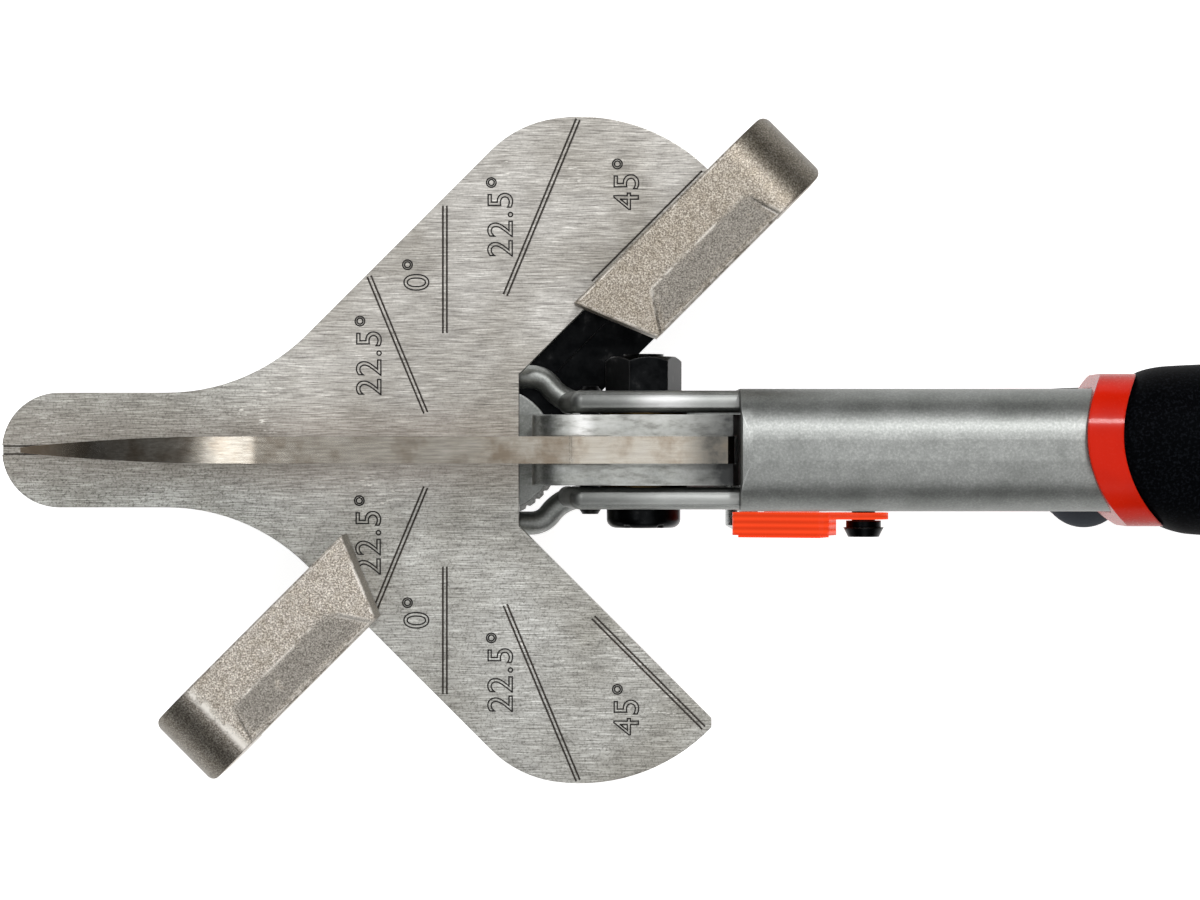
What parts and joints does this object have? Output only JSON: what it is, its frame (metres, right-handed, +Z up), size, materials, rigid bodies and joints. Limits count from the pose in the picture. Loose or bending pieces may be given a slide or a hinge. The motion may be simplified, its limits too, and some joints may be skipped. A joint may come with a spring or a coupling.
{
  "type": "mitre shears",
  "caption": "Hand shears with a wedge blade closing on a winged anvil plate, a turning stop for mitre angles, a side latch and red-collared rubber grips.",
  "frame": {"origin": "centre of the flat foot of the clamp knob, on the axis that the stop turns about", "axes": "+Z up out of the anvil face along the stop axis, +X from the stop pivot to the grips, +Y to the nut side of the blade pivot"},
  "size_m": [0.2741, 0.101, 0.053],
  "materials": {
    "cast_alloy": "tumbled die casting, satin",
    "plate_steel": "brushed along the tool",
    "blade_steel": "ground",
    "black_steel": "black oxide",
    "bright_steel": "bright zinc",
    "knurled_steel": "knurled",
    "bare_casting": "bare cast steel, grainy",
    "bearing_brass": "plain",
    "red_plastic": "gloss moulded",
    "black_rubber": "matte moulded"
  },
  "bodies": {
    "frame": {"frame_casting": "cast_alloy", "anvil_plate": "plate_steel", "plate_screws": "black_steel", "pivot_bolt": "black_steel", "pivot_nut": "black_steel", "thrust_washers": "bearing_brass", "stop_pin": "black_steel", "clamp_stud": "bright_steel", "latch_screw": "black_steel", "latch_washer": "black_steel", "upper_collar": "red_plastic", "upper_grip": "black_rubber", "return_spring": "bright_steel"},
    "lever": {"lever_casting": "cast_alloy", "blade": "blade_steel", "blade_pin": "bright_steel", "catch_stud": "bright_steel", "lower_collar": "red_plastic", "lower_grip": "black_rubber"},
    "fence": {"fence_bar": "black_steel", "stop_arm_upper": "bare_casting", "stop_arm_lower": "bare_casting", "arm_screws": "black_steel", "bar_washer": "bright_steel"},
    "knob": {"clamp_knob": "knurled_steel"},
    "latch": {"latch_lever": "red_plastic"}
  },
  "joints": [
    {"name": "lever_open", "type": "hinge", "parent": "frame", "child": "lever", "pos_m": [0.023, 0, 0.0332], "axis": [0, 1, 0], "range_deg": [0, 26], "deforming": ["return_spring"]},
    {"name": "stop_turn", "type": "hinge", "parent": "frame", "child": "fence", "pos_m": [0, 0, 0.0132], "axis": [0, 0, 1], "range_deg": [0, 90]},
    {"name": "knob_turn", "type": "hinge", "parent": "frame", "child": "knob", "pos_m": [0, 0, 0.0052], "axis": [0, 0, 1], "range_deg": [0, 180]},
    {"name": "latch_swing", "type": "hinge", "parent": "frame", "child": "latch", "pos_m": [0.0557, -0.01, 0.0352], "axis": [0, 1, 0], "range_deg": [0, 20]}
  ]
}
